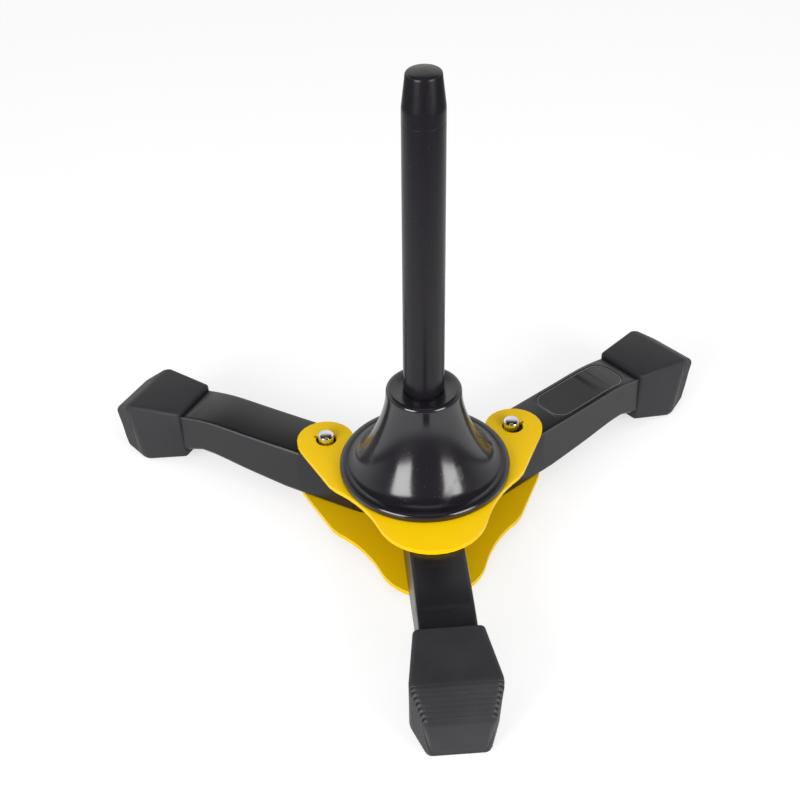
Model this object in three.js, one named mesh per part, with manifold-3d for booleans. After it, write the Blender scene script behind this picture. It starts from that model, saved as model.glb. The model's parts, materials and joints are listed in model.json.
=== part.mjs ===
// A folding clarinet stand: a tapered spike over a bell-shaped rest, two sheet plates and three arched legs.
// The front leg is bolted between the plates. The other two swing on rivets and are locked by sprung buttons.
import * as THREE from 'three';
import { ConvexGeometry } from 'three/addons/geometries/ConvexGeometry.js';
import { mergeVertices } from 'three/addons/utils/BufferGeometryUtils.js';
import Module from 'manifold-3d';

const wasm = await Module();
wasm.setup();

// Driving dimensions, in millimetres
const leftLegAngle = 122.3;
const rightLegAngle = 125.4;
const pivot = { out: 24.3, back: 11.1 };
const lockReach = 18.4;
const frontRivetReach = 19.8;
const lowerPlateHeight = 6.2;
const plateThickness = 2;
const slideGap = 0.15;
const seatGap = 0.3;
const runningClearance = 0.08;
const overrun = 5;
const roundSteps = 36;
const smallSteps = 20;

// Plates
const lockLobe = { radius: 12.15, out: 40.1, back: 20.9 };
const shoulder = { out: 38.9, ahead: 9.8, blunt: 2.2 };
const frontLobe = { radius: 22.5, centre: 27.8 };
const waistRadius = 52;
const backEdge = 22.5;
const lockHole = { radius: 4.5, out: 39.8, back: 21.1 };
const lockNotch = { width: 1.6, reach: 1.1 };

// Legs, measured outward from the centre of the round end and from the leg's own top and underside at the plates
const legHeight = 22.65;
const legTopHalf = 9.7;
const legUnderHalf = 11.4;
const legCorner = 1.6;
const legWall = 2.3;
const legWeb = 3;
const legRib = 1.8;
const ribPitch = 17;
const legEnd = 11;
const levelReach = 50;
const topCrest = { reach: 70, rise: 0.45 };
const underLevelReach = 24;
const underMiddle = { reach: 54, rise: 2.6 };
const underCrest = { reach: 76, rise: 5.4 };
const mouth = { reach: 87.6, topDrop: 1.95, underRise: 1.3 };
const tipReach = 113;
const tipDrop = { top: 8.2, under: 4.2 };
const bossRadius = 6.4;
const badge = { start: 38.3, length: 43.8, width: 16.2, corner: 6.8, depth: 0.35 };

// Feet, pulled over the leg ends
const footFit = 0.25;
const footMouth = { lean: 1.1, top: 31.4, under: 6.4, topHalf: 12.1, underHalf: 11.6 };
const footShoulder = { reach: 112, underReach: 106.8, top: 30.45, topHalf: 16.1, underHalf: 15.7 };
const footNose = { reach: 123.4, height: 20.6, half: 11.9 };
const footToe = { reach: 121.2, half: 10.4 };
const footRound = 2.3;
const footRibs = { count: 9, depth: 0.7, margin: 0.8 };

// Sprung locks
const pinRadius = 3.2;
const pinProud = 3.1;
const pinDome = 2.3;
const pinClearance = 0.25;
const collarRadius = 4.5;
const collarHeight = 2;
const pocketRadius = 4.9;
const springWire = 0.8;
const springTurns = 7;
const plugRadius = 5.6;
const plugHeight = 2.8;
const plugBossRadius = 7.6;

// Fasteners
const rivetRadius = 3;
const rivetHead = { radius: 4.1, height: 1.6 };
const boltRadius = 3;
const boltHead = { radius: 5.6, height: 3, socketRadius: 2.3, socketDepth: 1.7 };
const boltClearance = 0.3;
const washer = { radius: 6.6, height: 1 };
const nut = { acrossFlats: 10, height: 5 };

// Rest cone, with heights above the upper plate
const flangeRadius = 35;
const flangeHeight = 3.7;
const flangeRound = 1.75;
const groove = { width: 0.9, depth: 0.5 };
const bellFoot = 31.4;
const bellNeck = 14.6;
const bellSlope = 1.4;
const coneHeight = 41;
const coneRimRound = 1.2;
const dishDepth = 3;
const wellRadius = 8.7;
const wellFloor = 16;
const coneWall = 2.4;
const hollowRadius = 31.2;
const hollowStep = 2.3;
const hollowHeight = 24;

// Spike, with heights above the upper plate
const spikeFoot = { height: 39.4, radius: 7.75, round: 0.8 };
const spikeShoulder = { height: 158.8, radius: 7.5 };
const spikeNose = { height: 169.5, radius: 6.5 };
const spikeTop = 173.2;
const spikeSeam = 150.2;
const spikeBore = 5.2;
const spigotRadius = 7;
const plugDepth = 12;
const insertLength = 14;
const boltReach = 36;

// Finishes
const glossBlack = new THREE.MeshStandardMaterial({ color: 0x1b1b1e, roughness: 0.2, metalness: 0 });
const satinBlack = new THREE.MeshStandardMaterial({ color: 0x232326, roughness: 0.45, metalness: 0 });
const rubber = new THREE.MeshStandardMaterial({ color: 0x38383b, roughness: 0.85, metalness: 0 });
const yellowPaint = new THREE.MeshStandardMaterial({ color: 0xf6c80e, roughness: 0.4, metalness: 0.1 });
const chrome = new THREE.MeshStandardMaterial({ color: 0xd8dadd, roughness: 0.12, metalness: 1 });
const steel = new THREE.MeshStandardMaterial({ color: 0xa9abb0, roughness: 0.35, metalness: 1 });
const brass = new THREE.MeshStandardMaterial({ color: 0xb8913c, roughness: 0.35, metalness: 1 });

// Heights that follow from the stack of plates and legs
const legSeat = lowerPlateHeight + plateThickness + slideGap;
const legTop = legSeat + legHeight;
const upperPlateHeight = legTop + slideGap;
const deck = upperPlateHeight + plateThickness;

// Turns a three.js geometry into a solid that can be cut and joined
function toSolid(geometry) {
  const plain = geometry.index ? geometry.toNonIndexed() : geometry.clone();
  plain.deleteAttribute('normal');
  plain.deleteAttribute('uv');
  const merged = mergeVertices(plain);
  const mesh = new wasm.Mesh({
    numProp: 3,
    vertProperties: new Float32Array(merged.attributes.position.array),
    triVerts: new Uint32Array(merged.index.array),
  });
  return new wasm.Manifold(mesh);
}

function toGeometry(solid) {
  const mesh = solid.getMesh();
  const geometry = new THREE.BufferGeometry();
  geometry.setAttribute('position', new THREE.BufferAttribute(new Float32Array(mesh.vertProperties), 3));
  geometry.setIndex(new THREE.BufferAttribute(new Uint32Array(mesh.triVerts), 1));
  geometry.computeVertexNormals();
  return geometry;
}

function moved(solid, x, y, turn = 0) {
  return toSolid(toGeometry(solid).rotateZ(turn).translate(x, y, 0));
}

function join(...solids) {
  return solids.reduce((sum, solid) => sum.add(solid));
}

// A closed skin over rings of equally many points, with a fan over each end ring
function loft(rings) {
  const sides = rings[0].length;
  const points = rings.flat();
  const triangles = [];
  for (let ring = 0; ring + 1 < rings.length; ring++) {
    for (let side = 0; side < sides; side++) {
      const here = ring * sides + side;
      const next = ring * sides + ((side + 1) % sides);
      triangles.push(here, next, next + sides, here, next + sides, here + sides);
    }
  }
  const middle = (ring) => ring.reduce((sum, point) => sum.add(point), new THREE.Vector3()).divideScalar(sides);
  const firstMiddle = points.push(middle(rings[0])) - 1;
  const lastMiddle = points.push(middle(rings[rings.length - 1])) - 1;
  const lastRing = (rings.length - 1) * sides;
  for (let side = 0; side < sides; side++) {
    const next = (side + 1) % sides;
    triangles.push(firstMiddle, next, side);
    triangles.push(lastMiddle, lastRing + side, lastRing + next);
  }
  const geometry = new THREE.BufferGeometry();
  geometry.setAttribute('position', new THREE.Float32BufferAttribute(points.flatMap((p) => p.toArray()), 3));
  geometry.setIndex(triangles);
  return toSolid(geometry);
}

// A solid of revolution about the Z axis through pairs of radius and height
function turned(pairs, steps = roundSteps) {
  const profile = pairs.map(([radius, height]) => new THREE.Vector2(radius, height));
  return toSolid(new THREE.LatheGeometry(profile, steps).rotateX(Math.PI / 2));
}

function rod(radius, bottom, top, steps = smallSteps) {
  return turned([[0, bottom], [radius, bottom], [radius, top], [0, top]], steps);
}

function slab(shape, bottom, top) {
  const options = { depth: top - bottom, bevelEnabled: false, curveSegments: 8 };
  return toSolid(new THREE.ExtrudeGeometry(shape, options).translate(0, 0, bottom));
}

function boxBetween(low, high) {
  const size = high.clone().sub(low);
  const middle = high.clone().add(low).divideScalar(2);
  return toSolid(new THREE.BoxGeometry(size.x, size.y, size.z).translate(middle.x, middle.y, middle.z));
}

// Points on an arc in a plane, from one angle to another in degrees
function arcPoints(x, y, radius, from, to, steps) {
  return Array.from({ length: steps + 1 }, (_, step) => {
    const angle = THREE.MathUtils.degToRad(from + ((to - from) * step) / steps);
    return [x + radius * Math.cos(angle), y + radius * Math.sin(angle)];
  });
}

// A smooth curve through pairs of reach and height, read at one reach
function heightAt(pairs, reach) {
  const last = pairs.length - 2;
  const found = pairs.findIndex(([x], index) => index > 0 && reach <= x) - 1;
  const span = found < 0 ? last : found;
  const steepness = (index) => {
    const [[nearX, nearY], [farX, farY]] = pairs.slice(index, index + 2);
    return (farY - nearY) / (farX - nearX);
  };
  // Level beside a level span and at a crest, so that the curve never overshoots
  const slope = (index) => {
    const before = steepness(Math.max(index - 1, 0));
    const after = steepness(Math.min(index, last));
    return before * after > 0 ? (before + after) / 2 : 0;
  };
  const [x0, y0] = pairs[span];
  const [x1, y1] = pairs[span + 1];
  const width = x1 - x0;
  const t = (reach - x0) / width;
  const easeIn = t * t * (3 - 2 * t);
  const leave = t * (1 - t) * (1 - t) * width * slope(span);
  const arrive = t * t * (t - 1) * width * slope(span + 1);
  return y0 + (y1 - y0) * easeIn + leave + arrive;
}

// Both plates have this outline, with the front leg toward -Y
function plateShape() {
  const degrees = THREE.MathUtils.radToDeg;
  const lobe = new THREE.Vector2(lockLobe.out, lockLobe.back);
  const corner = new THREE.Vector2(shoulder.out, -shoulder.ahead);
  const front = new THREE.Vector2(0, -frontLobe.centre);

  // The straight outer edge leaves the lobe at a tangent and ends at the shoulder
  const down = corner.clone().sub(lobe);
  const leaveAngle = degrees(down.angle() + Math.acos(lockLobe.radius / down.length())) - 360;
  const inner = degrees(Math.PI - Math.asin((backEdge - lockLobe.back) / lockLobe.radius));
  const lobeArc = arcPoints(lobe.x, lobe.y, lockLobe.radius, inner, leaveAngle, 14);
  const edgeStart = new THREE.Vector2(...lobeArc[lobeArc.length - 1]);
  const edge = corner.clone().sub(edgeStart).normalize();
  const edgeEnd = corner.clone().addScaledVector(edge, -shoulder.blunt);

  // The hollow waist starts at the shoulder and meets the front lobe at a tangent
  const gap = corner.distanceTo(front);
  const reach = waistRadius + frontLobe.radius;
  const along = (reach ** 2 - waistRadius ** 2 + gap ** 2) / (2 * gap);
  const aside = Math.sqrt(reach ** 2 - along ** 2);
  const line = corner.clone().sub(front).divideScalar(gap);
  const waist = front.clone().addScaledVector(line, along);
  waist.addScaledVector(new THREE.Vector2(line.y, -line.x), aside);
  const blunt = degrees(shoulder.blunt / waistRadius);
  const waistFrom = degrees(corner.clone().sub(waist).angle()) + blunt;
  const waistTo = degrees(front.clone().sub(waist).angle());
  const waistArc = arcPoints(waist.x, waist.y, waistRadius, waistFrom, waistTo, 8);
  const frontFrom = waistTo - 180;
  const frontArc = arcPoints(front.x, front.y, frontLobe.radius, frontFrom, -90, 8);

  const half = [...lobeArc, edgeEnd.toArray(), ...waistArc, ...frontArc.slice(1)];
  const mirrored = half.slice(0, -1).reverse().map(([x, y]) => [-x, y]);
  const outline = [...half, ...mirrored].map(([x, y]) => new THREE.Vector2(x, y));
  return new THREE.Shape(outline);
}

function holeAt(centre, radius, bottom, top) {
  return moved(rod(radius, bottom - overrun, top + overrun), centre.x, centre.y);
}

function makePlate(bottom, hasLocks) {
  const top = bottom + plateThickness;
  const frontRivet = new THREE.Vector2(0, -frontRivetReach);
  let plate = slab(plateShape(), bottom, top);
  plate = plate.subtract(holeAt(new THREE.Vector2(), boltRadius + boltClearance, bottom, top));
  plate = plate.subtract(holeAt(frontRivet, rivetRadius + runningClearance, bottom, top));
  for (const side of [-1, 1]) {
    const hinge = new THREE.Vector2(side * pivot.out, pivot.back);
    plate = plate.subtract(holeAt(hinge, rivetRadius + runningClearance, bottom, top));
    if (!hasLocks) continue;
    const centre = new THREE.Vector2(side * lockHole.out, lockHole.back);
    plate = plate.subtract(holeAt(centre, lockHole.radius, bottom, top));
    const low = new THREE.Vector3(lockHole.radius / 2, -lockNotch.width / 2, bottom - overrun);
    const high = new THREE.Vector3(lockHole.radius + lockNotch.reach, lockNotch.width / 2, top + overrun);
    plate = plate.subtract(moved(boxBetween(low, high), centre.x, centre.y, centre.angle()));
  }
  return plate;
}

const topLine = [
  [-legEnd, legTop],
  [levelReach, legTop],
  [topCrest.reach, legTop + topCrest.rise],
  [mouth.reach, legTop - mouth.topDrop],
  [tipReach, legTop - tipDrop.top],
];
const underLine = [
  [-legEnd, legSeat],
  [underLevelReach, legSeat],
  [underMiddle.reach, legSeat + underMiddle.rise],
  [underCrest.reach, legSeat + underCrest.rise],
  [mouth.reach, legSeat + mouth.underRise],
  [tipReach, legSeat - tipDrop.under],
];
const legDraft = (legUnderHalf - legTopHalf) / legHeight;

function legHalfAt(height) {
  return legTopHalf + legDraft * (legTop - height);
}

// One upright section of a leg: a trapezium with rounded corners, grown or shrunk by a margin
function legRing(reach, margin, corner) {
  const top = heightAt(topLine, reach) + margin;
  const under = heightAt(underLine, reach) - margin;
  const topHalf = legHalfAt(top) + margin - corner;
  const underHalf = legHalfAt(under) + margin - corner;
  const ring = [
    ...arcPoints(-underHalf, under + corner, corner, 180, 270, 2),
    ...arcPoints(underHalf, under + corner, corner, 270, 360, 2),
    ...arcPoints(topHalf, top - corner, corner, 0, 90, 2),
    ...arcPoints(-topHalf, top - corner, corner, 90, 180, 2),
  ];
  return ring.map(([y, z]) => new THREE.Vector3(reach, y, z));
}

const stationShares = [0, 0.18, 0.36, 0.46, 0.54, 0.6, 0.66, 0.71, 0.76, 0.81, 0.86, 0.92, 1];

function legLoft(from, to, margin) {
  const reaches = stationShares.map((share) => from + (to - from) * share);
  return loft(reaches.map((reach) => legRing(reach, margin, legCorner + margin)));
}

// The leg's plan: straight sides and a round end about the pivot
function legPlan(endRadius, reach) {
  const shape = new THREE.Shape();
  shape.moveTo(reach, -endRadius);
  shape.lineTo(reach, endRadius);
  shape.lineTo(0, endRadius);
  shape.absarc(0, 0, endRadius, Math.PI / 2, (3 * Math.PI) / 2, false);
  return shape;
}

function insideOf(solid, endRadius, reach) {
  const low = legSeat - legHeight;
  const high = legTop + legHeight;
  const sideCut = new THREE.Shape();
  sideCut.moveTo(0, -legHeight);
  sideCut.lineTo(reach, -legHeight);
  sideCut.lineTo(reach, legHeight);
  sideCut.lineTo(0, legHeight);
  return solid.intersect(join(slab(legPlan(endRadius, reach), low, high), slab(sideCut, low, high)));
}

// The hollow under the leg, left open below, with cross ribs and bosses standing in it
function legHollow(bosses) {
  const rings = stationShares.map((share) => {
    const reach = -legEnd + (tipReach - legWall + legEnd) * share;
    const top = heightAt(topLine, reach) - legWeb;
    const under = heightAt(underLine, reach) - overrun;
    const topHalf = legHalfAt(top) - legWall;
    const underHalf = legHalfAt(under) - legWall;
    const corners = [[-underHalf, under], [underHalf, under], [topHalf, top], [-topHalf, top]];
    return corners.map(([y, z]) => new THREE.Vector3(reach, y, z));
  });
  let hollow = insideOf(loft(rings), legEnd - legWall, tipReach);
  const firstRib = lockReach + plugBossRadius + legRib;
  for (let reach = firstRib; reach < tipReach - legWall; reach += ribPitch) {
    const low = new THREE.Vector3(reach, -legHeight, legSeat - legHeight);
    const high = new THREE.Vector3(reach + legRib, legHeight, legTop + legHeight);
    hollow = hollow.subtract(boxBetween(low, high));
  }
  for (const { reach, radius } of bosses) {
    const boss = rod(radius, legSeat - legHeight, legTop + legHeight);
    hollow = hollow.subtract(moved(boss, reach, 0));
  }
  return hollow;
}

// The bare badge panel: a shallow recess with rounded corners in the leg's top
function badgeCut() {
  const { start, length, width, corner, depth } = badge;
  const side = width / 2 - corner;
  const near = start + corner;
  const far = start + length - corner;
  const shape = new THREE.Shape();
  shape.absarc(far, -side, corner, -Math.PI / 2, 0, false);
  shape.absarc(far, side, corner, 0, Math.PI / 2, false);
  shape.absarc(near, side, corner, Math.PI / 2, Math.PI, false);
  shape.absarc(near, -side, corner, Math.PI, (3 * Math.PI) / 2, false);
  const panel = slab(shape, legTop - legHeight / 2, legTop + legHeight);
  return panel.subtract(legLoft(-legEnd, tipReach, -depth));
}

// Bores that run the whole height of a leg, in a leg that locks and in the fixed one
function boreThrough(reach, radius) {
  return moved(rod(radius, legSeat - overrun, legTop + overrun), reach, 0);
}

function makeLeg({ locks, hasBadge }) {
  const outerReach = locks ? lockReach : frontRivetReach;
  const bosses = [
    { reach: 0, radius: bossRadius },
    { reach: outerReach, radius: locks ? plugBossRadius : bossRadius },
  ];
  let leg = insideOf(legLoft(-legEnd, tipReach, 0), legEnd, tipReach);
  leg = leg.subtract(legHollow(bosses));
  leg = leg.subtract(boreThrough(0, rivetRadius + runningClearance));
  if (locks) {
    const lockBore = (radius, bottom, top) => moved(rod(radius, bottom, top), lockReach, 0);
    leg = leg.subtract(lockBore(pinRadius + pinClearance, legSeat, legTop + overrun));
    leg = leg.subtract(lockBore(pocketRadius, legSeat - overrun, legTop - legWeb));
    leg = leg.subtract(lockBore(plugRadius + slideGap, legSeat - overrun, legSeat + plugHeight + seatGap));
  } else {
    leg = leg.subtract(boreThrough(outerReach, rivetRadius + runningClearance));
  }
  return hasBadge ? leg.subtract(badgeCut()) : leg;
}

// A convex block whose edges are rounded by a small ball at every corner
function roundedBlock(corners, radius) {
  const ball = new THREE.IcosahedronGeometry(radius, 1).attributes.position;
  const points = [];
  for (const corner of corners) {
    for (let index = 0; index < ball.count; index++) {
      points.push(new THREE.Vector3().fromBufferAttribute(ball, index).add(corner));
    }
  }
  return toSolid(new ConvexGeometry(points));
}

function makeFoot() {
  const inset = footRound;
  const halves = [
    [mouth.reach + inset, footMouth.topHalf - inset, footMouth.top - inset],
    [mouth.reach - footMouth.lean + inset, footMouth.underHalf - inset, footMouth.under + inset],
    [footShoulder.reach, footShoulder.topHalf - inset, footShoulder.top - inset],
    [footShoulder.underReach, footShoulder.underHalf - inset, inset],
    [footNose.reach - inset, footNose.half - inset, footNose.height],
    [footToe.reach - inset, footToe.half - inset, inset],
  ];
  const corners = halves.flatMap(([x, y, z]) => [new THREE.Vector3(x, y, z), new THREE.Vector3(x, -y, z)]);
  const pocketFrom = mouth.reach - footMouth.lean - overrun;
  const boot = roundedBlock(corners, footRound).subtract(legLoft(pocketFrom, tipReach + footFit, footFit));

  // Ribs run across the sloping end of the top, between saw-tooth cuts
  const start = new THREE.Vector2(footShoulder.reach + footRound * 0.4, footShoulder.top);
  const end = new THREE.Vector2(footNose.reach, footNose.height + footRound * 0.4);
  const run = end.clone().sub(start);
  const length = run.length() - 2 * footRibs.margin;
  const along = run.clone().normalize();
  const outward = new THREE.Vector2(-along.y, along.x);
  const teeth = new THREE.Shape();
  const at = (distance, depth) => {
    const point = start.clone().addScaledVector(along, distance + footRibs.margin);
    return point.addScaledVector(outward, -depth);
  };
  const surface = faceOffset(start, along, outward);
  const pitch = length / footRibs.count;
  const outline = [at(0, -overrun - surface), at(0, -surface)];
  for (let rib = 0; rib < footRibs.count; rib++) {
    outline.push(at((rib + 0.5) * pitch, footRibs.depth - surface));
    outline.push(at((rib + 1) * pitch, -surface));
  }
  outline.push(at(length, -overrun - surface));
  outline.forEach((point, index) => (index ? teeth.lineTo(point.x, point.y) : teeth.moveTo(point.x, point.y)));
  const options = { depth: 2 * legHeight, bevelEnabled: false };
  const comb = new THREE.ExtrudeGeometry(teeth, options).translate(0, 0, -legHeight).rotateX(Math.PI / 2);
  return boot.subtract(toSolid(comb));
}

// How far the rounded block's sloping face lies outside the line through its shoulder and nose
function faceOffset(start, along, outward) {
  const inset = footRound;
  const ballCentre = new THREE.Vector2(footShoulder.reach, footShoulder.top - inset);
  return ballCentre.sub(start).dot(outward) + inset;
}

function makeButton() {
  const collarTop = legTop - legWeb - slideGap;
  const pinTop = deck + pinProud;
  const dome = arcPoints(0, 0, 1, 0, 90, 5).map(([x, y]) => [x * pinRadius, pinTop - pinDome + y * pinDome]);
  dome[dome.length - 1][0] = 0;
  return turned([
    [0, collarTop - collarHeight],
    [collarRadius, collarTop - collarHeight],
    [collarRadius, collarTop],
    [pinRadius, collarTop],
    ...dome,
  ], smallSteps);
}

class Coil extends THREE.Curve {
  constructor(radius, bottom, top, turns) {
    super();
    Object.assign(this, { radius, bottom, top, turns });
  }

  getPoint(t, target = new THREE.Vector3()) {
    const angle = 2 * Math.PI * this.turns * t;
    const height = this.bottom + (this.top - this.bottom) * t;
    return target.set(this.radius * Math.cos(angle), this.radius * Math.sin(angle), height);
  }
}

// The spring under a button, one wire with a named gap to the collar and to the plug
function makeSpring() {
  const wireRadius = springWire / 2;
  const bottom = legSeat + plugHeight + seatGap + wireRadius;
  const top = legTop - legWeb - slideGap - collarHeight - seatGap - wireRadius;
  const coil = new Coil(collarRadius - wireRadius - slideGap, bottom, top, springTurns);
  const wire = new THREE.Shape(arcPoints(0, 0, wireRadius, 0, 300, 5).map(([x, y]) => new THREE.Vector2(x, y)));
  const options = { steps: 7 * springTurns, extrudePath: coil, bevelEnabled: false };
  console.log('least gap between spring turns', ((top - bottom) / springTurns - springWire).toFixed(2));
  return toSolid(new THREE.ExtrudeGeometry(wire, options));
}

function makeRivet() {
  const { radius, height } = rivetHead;
  const lowDome = arcPoints(0, 0, 1, -90, 0, 3).map(([x, y]) => [x * radius, lowerPlateHeight + y * height]);
  const highDome = arcPoints(0, 0, 1, 0, 90, 3).map(([x, y]) => [x * radius, deck + y * height]);
  lowDome[0][0] = 0;
  highDome[highDome.length - 1][0] = 0;
  const shank = [[rivetRadius, lowerPlateHeight], [rivetRadius, deck]];
  return turned([...lowDome, ...shank, ...highDome], smallSteps);
}

function makeBolt() {
  const headBottom = lowerPlateHeight - boltHead.height;
  const bolt = turned([
    [0, headBottom],
    [boltHead.radius, headBottom],
    [boltHead.radius, lowerPlateHeight],
    [boltRadius, lowerPlateHeight],
    [boltRadius, deck + boltReach],
    [0, deck + boltReach],
  ], smallSteps);
  return bolt.subtract(rod(boltHead.socketRadius, headBottom - overrun, headBottom + boltHead.socketDepth, 6));
}

function makeWasher() {
  const bottom = deck + wellFloor;
  const inner = boltRadius + boltClearance;
  const top = bottom + washer.height;
  return turned([[inner, bottom], [washer.radius, bottom], [washer.radius, top], [inner, top], [inner, bottom]], smallSteps);
}

function makeNut() {
  const bottom = deck + wellFloor + washer.height;
  const cornerRadius = nut.acrossFlats / Math.sqrt(3);
  return rod(cornerRadius, bottom, bottom + nut.height, 6)
    .subtract(rod(boltRadius + runningClearance, bottom - overrun, bottom + nut.height + overrun));
}

// The bell, seen in section: flange, groove, flare, dished top, well, post and the hollow under the flare
function makeCone() {
  const top = deck + coneHeight;
  const flare = new THREE.QuadraticBezierCurve(
    new THREE.Vector2(bellFoot, deck + flangeHeight),
    new THREE.Vector2(bellNeck, deck + flangeHeight + (bellFoot - bellNeck) * bellSlope),
    new THREE.Vector2(bellNeck, top - coneRimRound),
  );
  const flarePoints = flare.getPoints(10).map((point) => [point.x, point.y]);
  const postRadius = wellRadius + coneWall;
  const innerFlare = flare.getPoints(5)
    .map((point) => [point.x, point.y])
    .map(([radius, height]) => [radius - coneWall * 1.3, height])
    .filter(([radius, height]) => height < deck + hollowHeight && radius < hollowRadius)
    .map(([radius, height]) => [Math.max(radius, postRadius + slideGap), height]);
  const bore = boltRadius + boltClearance;
  const profile = [
    [hollowRadius, deck],
    [flangeRadius - flangeRound / 2, deck],
    ...arcPoints(flangeRadius - flangeRound, deck + flangeHeight / 2, flangeRound, -60, 60, 4),
    [flangeRadius - flangeRound, deck + flangeHeight],
    [bellFoot + groove.width, deck + flangeHeight],
    [bellFoot + groove.width / 2, deck + flangeHeight - groove.depth],
    ...flarePoints,
    ...arcPoints(bellNeck - coneRimRound, top - coneRimRound, coneRimRound, 25, 90, 3),
    [wellRadius, top - dishDepth],
    [wellRadius, deck + wellFloor],
    [bore, deck + wellFloor],
    [bore, deck],
    [postRadius, deck],
    [postRadius, deck + hollowHeight],
    ...innerFlare.reverse(),
    [hollowRadius - slideGap, deck + hollowStep],
    [hollowRadius, deck],
  ];
  return turned(profile);
}

function makeSpikeTube() {
  const foot = deck + spikeFoot.height;
  const bottom = deck + wellFloor + washer.height + nut.height + seatGap;
  const seam = deck + spikeSeam;
  const share = (spikeSeam - spikeFoot.height) / (spikeShoulder.height - spikeFoot.height);
  const seamRadius = spikeFoot.radius + (spikeShoulder.radius - spikeFoot.radius) * share;
  const centre = spikeFoot.radius - spikeFoot.round;
  return turned([
    [spikeBore, bottom],
    [spigotRadius, bottom],
    [spigotRadius, foot],
    ...arcPoints(centre, foot + spikeFoot.round, spikeFoot.round, -80, 0, 3),
    [seamRadius, seam],
    [spikeBore, seam],
    [spikeBore, bottom],
  ], roundSteps);
}

function makeSpikeTip() {
  const seam = deck + spikeSeam;
  const top = deck + spikeTop;
  const share = (spikeSeam - spikeFoot.height) / (spikeShoulder.height - spikeFoot.height);
  const seamRadius = spikeFoot.radius + (spikeShoulder.radius - spikeFoot.radius) * share;
  const domeHeight = spikeTop - spikeNose.height;
  const dome = arcPoints(0, 0, 1, 0, 90, 7).map(([x, y]) => [x * spikeNose.radius, top - domeHeight + y * domeHeight]);
  dome[dome.length - 1][0] = 0;
  return turned([
    [0, seam - plugDepth],
    [spikeBore - slideGap, seam - plugDepth],
    [spikeBore - slideGap, seam],
    [seamRadius, seam],
    [spikeShoulder.radius, deck + spikeShoulder.height],
    ...dome,
  ], roundSteps);
}

function makeSpikeInsert() {
  const bottom = deck + wellFloor + washer.height + nut.height + seatGap;
  const outer = spikeBore - slideGap;
  const inner = boltRadius + runningClearance;
  const top = bottom + insertLength;
  return turned([[inner, bottom], [outer, bottom], [outer, top], [inner, top], [inner, bottom]], smallSteps);
}

// Assembly
const stand = new THREE.Group();

function place(parent, name, solid, material) {
  const mesh = new THREE.Mesh(toGeometry(solid), material);
  mesh.name = name;
  parent.add(mesh);
  return mesh;
}

place(stand, 'lower_plate', makePlate(lowerPlateHeight, false), yellowPaint);
place(stand, 'upper_plate', makePlate(upperPlateHeight, true), yellowPaint);
place(stand, 'hub_bolt', makeBolt(), steel);
place(stand, 'hub_washer', makeWasher(), steel);
place(stand, 'hub_nut', makeNut(), steel);
place(stand, 'rest_cone', makeCone(), glossBlack);
place(stand, 'spike_tube', makeSpikeTube(), glossBlack);
place(stand, 'spike_tip', makeSpikeTip(), glossBlack);
place(stand, 'spike_insert', makeSpikeInsert(), brass);

// Each leg lies along +X of its own group, with its round end about the group's Z axis.
// The side legs stand a little apart from each other's mirror image, by the play of their pins in the lock holes.
const legs = [
  { side: 'front', angle: 0, x: 0, y: 0, rivetReach: frontRivetReach, locks: false, hasBadge: false },
  { side: 'left', angle: -leftLegAngle, x: -pivot.out, y: pivot.back, rivetReach: 0, locks: true, hasBadge: false },
  { side: 'right', angle: rightLegAngle, x: pivot.out, y: pivot.back, rivetReach: 0, locks: true, hasBadge: true },
];
for (const { side, angle, x, y, rivetReach, locks, hasBadge } of legs) {
  const group = new THREE.Group();
  group.position.set(x, y, 0);
  group.rotation.z = THREE.MathUtils.degToRad(angle) - Math.PI / 2;
  stand.add(group);
  place(group, `${side}_leg`, makeLeg({ locks, hasBadge }), satinBlack);
  place(group, `${side}_foot`, makeFoot(), rubber);
  place(group, `${side}_leg_rivet`, makeRivet(), steel).position.x = rivetReach;
  if (!locks) continue;
  place(group, `${side}_lock_button`, makeButton(), chrome).position.x = lockReach;
  place(group, `${side}_lock_spring`, makeSpring(), steel).position.x = lockReach;
  const plug = rod(plugRadius, legSeat, legSeat + plugHeight);
  place(group, `${side}_lock_plug`, plug, satinBlack).position.x = lockReach;
}

// The frame's origin is under the middle of the stand, on the floor
const bounds = new THREE.Box3().setFromObject(stand, true);
const middle = bounds.getCenter(new THREE.Vector3());
stand.position.set(-middle.x, -middle.y, -bounds.min.z);
stand.updateMatrixWorld(true);

export default stand;
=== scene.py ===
import json
from math import atan2, cos, pi, radians, sin

import bmesh
import bpy
from mathutils import Matrix, Vector


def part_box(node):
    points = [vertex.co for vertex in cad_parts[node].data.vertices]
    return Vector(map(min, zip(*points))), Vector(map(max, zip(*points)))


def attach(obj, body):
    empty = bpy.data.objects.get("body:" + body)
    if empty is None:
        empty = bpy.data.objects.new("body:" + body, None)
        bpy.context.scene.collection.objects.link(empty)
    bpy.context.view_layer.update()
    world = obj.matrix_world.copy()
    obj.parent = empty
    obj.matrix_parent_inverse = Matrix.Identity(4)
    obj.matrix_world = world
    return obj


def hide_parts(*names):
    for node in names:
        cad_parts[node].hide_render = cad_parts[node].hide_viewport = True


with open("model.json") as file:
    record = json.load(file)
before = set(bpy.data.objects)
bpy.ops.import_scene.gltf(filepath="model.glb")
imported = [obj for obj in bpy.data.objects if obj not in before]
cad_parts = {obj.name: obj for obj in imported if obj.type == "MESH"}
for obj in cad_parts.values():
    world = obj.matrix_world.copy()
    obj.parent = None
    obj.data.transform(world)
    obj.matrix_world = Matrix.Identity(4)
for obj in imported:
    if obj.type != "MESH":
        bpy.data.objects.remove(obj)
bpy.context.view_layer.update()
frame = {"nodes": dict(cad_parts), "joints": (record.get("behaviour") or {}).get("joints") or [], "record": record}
nodes = frame["nodes"]
mm = 0.001
mergeDistance = 0.000002  # doubles this near are one point, in metres


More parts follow.
